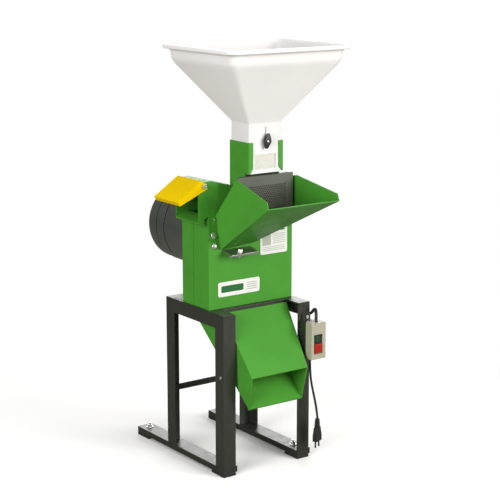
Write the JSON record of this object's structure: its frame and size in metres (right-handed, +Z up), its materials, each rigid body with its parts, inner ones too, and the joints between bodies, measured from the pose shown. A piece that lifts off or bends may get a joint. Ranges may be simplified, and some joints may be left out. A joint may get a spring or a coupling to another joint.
{
  "type": "electric forage hammer mill",
  "caption": "Electric forage and grain hammer mill on a steel stand, with a hopper, a feed trough, a side outlet with a tilting deflector and a lower chute.",
  "frame": {"origin": "centre of the whole machine's bounding box at floor level", "axes": "+Z up; -Y to the front, where the feed trough and chute open; +X to the operator's right when facing the front, where the switch is; the motor's shaft lies along Y"},
  "size_m": [0.445, 0.6132, 1.179],
  "materials": {
    "stand_paint": "satin powder coat",
    "rubber": "matte",
    "zinc": "zinc plated",
    "green_paint": "gloss powder coat",
    "steel": "machined",
    "guard_paint": "satin, perforated",
    "hopper_plastic": "satin moulded plastic",
    "gate_zinc": "galvanised",
    "black_plastic": "satin",
    "yellow_paint": "gloss powder coat",
    "motor_paint": "satin",
    "rotor_paint": "satin",
    "box_plastic": "satin moulded plastic",
    "start_plastic": "gloss",
    "stop_plastic": "gloss",
    "cable_rubber": "matte"
  },
  "bodies": {
    "frame": {"leg_front_left": "stand_paint", "leg_front_right": "stand_paint", "leg_rear_left": "stand_paint", "leg_rear_right": "stand_paint", "top_rail_left": "stand_paint", "top_rail_right": "stand_paint", "top_rail_rear": "stand_paint", "front_cross_rail": "stand_paint", "rear_brace": "stand_paint", "foot_bar_left": "stand_paint", "foot_bar_right": "stand_paint", "rubber_feet": "rubber", "foot_bolts": "zinc", "leg_screws": "zinc", "front_cover": "green_paint", "rear_housing": "green_paint", "outlet_hood": "green_paint", "cover_bolts": "zinc", "sieve": "steel", "counter_knife": "steel", "counter_knife_bolt": "zinc", "feed_trough": "green_paint", "trough_rivets": "zinc", "guard_screen": "guard_paint", "hopper_neck": "green_paint", "hopper": "hopper_plastic", "deflector_bolts": "zinc", "outlet_chute": "green_paint", "motor_front_flange": "motor_paint", "motor_shell": "motor_paint", "motor_rear_shield": "motor_paint", "fan_cover": "motor_paint", "stator": "steel", "motor_bolts": "zinc", "motor_bearings": "steel", "switch_bracket": "stand_paint", "switch_box": "box_plastic", "switch_cover": "box_plastic", "switch_screws": "zinc", "motor_cable": "cable_rubber", "power_cord": "cable_rubber", "plug": "black_plastic"},
    "rotor": {"shaft": "steel", "rotor_core": "steel", "cooling_fan": "black_plastic", "rotor_hub": "rotor_paint", "knives": "steel", "knife_bolts": "zinc", "hammer_pins": "steel", "shaft_nut": "zinc"},
    "hammer_set_right": {"hammers_right": "steel"},
    "hammer_set_top": {"hammers_top": "steel"},
    "hammer_set_left": {"hammers_left": "steel"},
    "hammer_set_bottom": {"hammers_bottom": "steel"},
    "gate": {"gate_plate": "gate_zinc", "gate_stud": "zinc"},
    "knob": {"gate_knob": "black_plastic"},
    "flap": {"deflector": "yellow_paint"},
    "start": {"start_button": "start_plastic"},
    "stop": {"stop_button": "stop_plastic"}
  },
  "joints": [
    {"name": "rotor_spin", "type": "hinge", "parent": "frame", "child": "rotor", "pos_m": [0.0205, 0.05962, 0.644], "axis": [0, 1, 0], "continuous": true},
    {"name": "hammers_right_swing", "type": "hinge", "parent": "rotor", "child": "hammer_set_right", "pos_m": [0.0925, -0.00838, 0.644], "axis": [0, 1, 0], "range_deg": [-60, 60]},
    {"name": "hammers_top_swing", "type": "hinge", "parent": "rotor", "child": "hammer_set_top", "pos_m": [0.0205, -0.00838, 0.716], "axis": [0, 1, 0], "range_deg": [-60, 60]},
    {"name": "hammers_left_swing", "type": "hinge", "parent": "rotor", "child": "hammer_set_left", "pos_m": [-0.0515, -0.00838, 0.644], "axis": [0, 1, 0], "range_deg": [-60, 60]},
    {"name": "hammers_bottom_swing", "type": "hinge", "parent": "rotor", "child": "hammer_set_bottom", "pos_m": [0.0205, -0.00838, 0.572], "axis": [0, 1, 0], "range_deg": [-60, 60]},
    {"name": "gate_slide", "type": "slide", "parent": "frame", "child": "gate", "axis": [0, 0, 1], "range_m": [0, 0.033]},
    {"name": "knob_turn", "type": "hinge", "parent": "gate", "child": "knob", "pos_m": [0.0205, -0.14388, 0.924], "axis": [0, 1, 0], "range_deg": [-90, 90]},
    {"name": "deflector_tilt", "type": "hinge", "parent": "frame", "child": "flap", "pos_m": [-0.1368, -0.01287, 0.806], "axis": [0, 1, 0], "range_deg": [-45, 20]},
    {"name": "start_press", "type": "slide", "parent": "frame", "child": "start", "axis": [0, 1, 0], "range_m": [0, 0.003], "stiffness_N_per_m": 200},
    {"name": "stop_press", "type": "slide", "parent": "frame", "child": "stop", "axis": [0, 1, 0], "range_m": [0, 0.003], "stiffness_N_per_m": 200}
  ]
}
